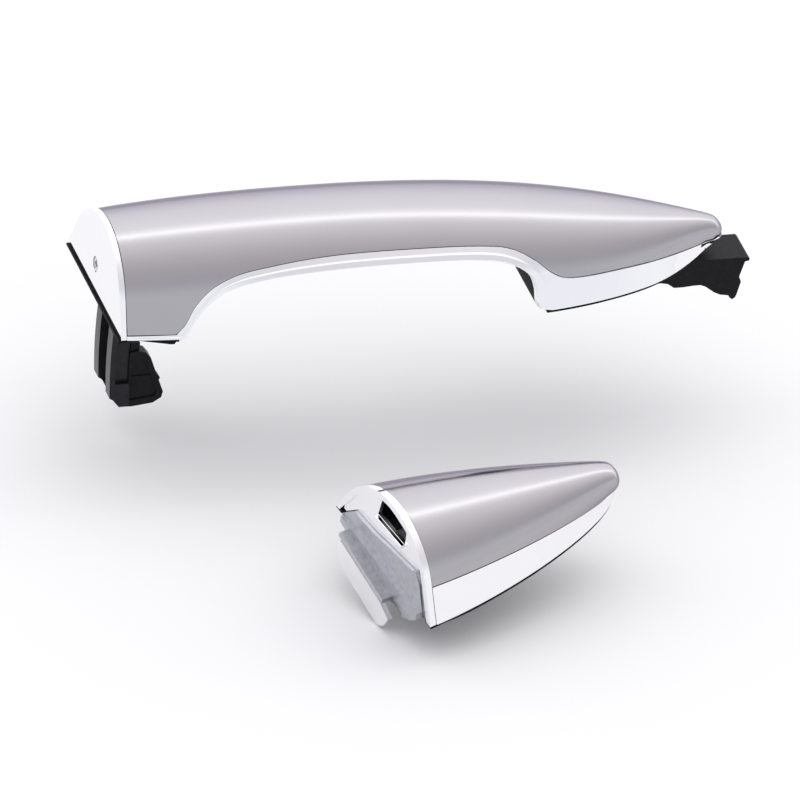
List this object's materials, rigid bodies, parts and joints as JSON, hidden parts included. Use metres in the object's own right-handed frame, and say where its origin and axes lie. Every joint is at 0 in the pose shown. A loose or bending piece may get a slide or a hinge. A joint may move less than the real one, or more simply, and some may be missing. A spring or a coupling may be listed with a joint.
{
  "type": "car door handle",
  "caption": "Pull-type exterior car door handle with a chromed bowed grip, a hooked hinge arm, an operating leg and a separate tapered end cap.",
  "frame": {"origin": "middle of the grip's flat rear end, on the underside of the rear gasket (the door skin plane)", "axes": "+X along the grip from the flat rear end to the nose, +Y across the grip, +Z out of the door"},
  "size_m": [0.1885, 0.151, 0.0698],
  "materials": {
    "satin_chrome": "satin",
    "bright_chrome": "polished",
    "screw_steel": "bright",
    "gloss_black": "gloss",
    "diecast": "as cast",
    "matte_black": "fine moulded",
    "rubber_black": "matte",
    "plated_lug": "bright",
    "brass_insert": "turned",
    "spring_steel": "satin"
  },
  "bodies": {
    "door_side": {"front_gasket": "rubber_black", "rear_gasket": "rubber_black", "pivot_shoe": "matte_black"},
    "grip": {"grip_shell": "satin_chrome", "grip_bezel": "bright_chrome", "grip_end_plate": "bright_chrome", "end_plate_screw": "screw_steel", "grip_liner": "gloss_black", "grip_core": "diecast", "front_base": "matte_black", "rear_base": "matte_black", "pivot_arm": "matte_black", "arm_screws": "screw_steel", "rear_leg": "matte_black", "leg_foot": "matte_black", "leg_screws": "screw_steel", "rear_stop": "rubber_black"},
    "cap": {"cap_shell": "satin_chrome", "cap_bezel": "bright_chrome", "cap_face_plate": "bright_chrome", "cap_bracket": "diecast", "cap_lug": "plated_lug", "cap_frame": "matte_black", "cap_insert": "brass_insert", "bracket_screws": "screw_steel", "cap_clip": "spring_steel", "cap_gasket": "rubber_black"}
  },
  "joints": [
    {"name": "grip_swing", "type": "hinge", "parent": "door_side", "child": "grip", "pos_m": [0.1829, 0, -0.0089], "axis": [0, 1, 0], "range_deg": [0, 10], "stiffness_Nm_per_rad": 2.5, "springref_deg": -17.19},
    {"name": "cap_lift", "type": "slide", "parent": "door_side", "child": "cap", "axis": [0, 0, 1], "range_m": [0, 0.05]}
  ]
}
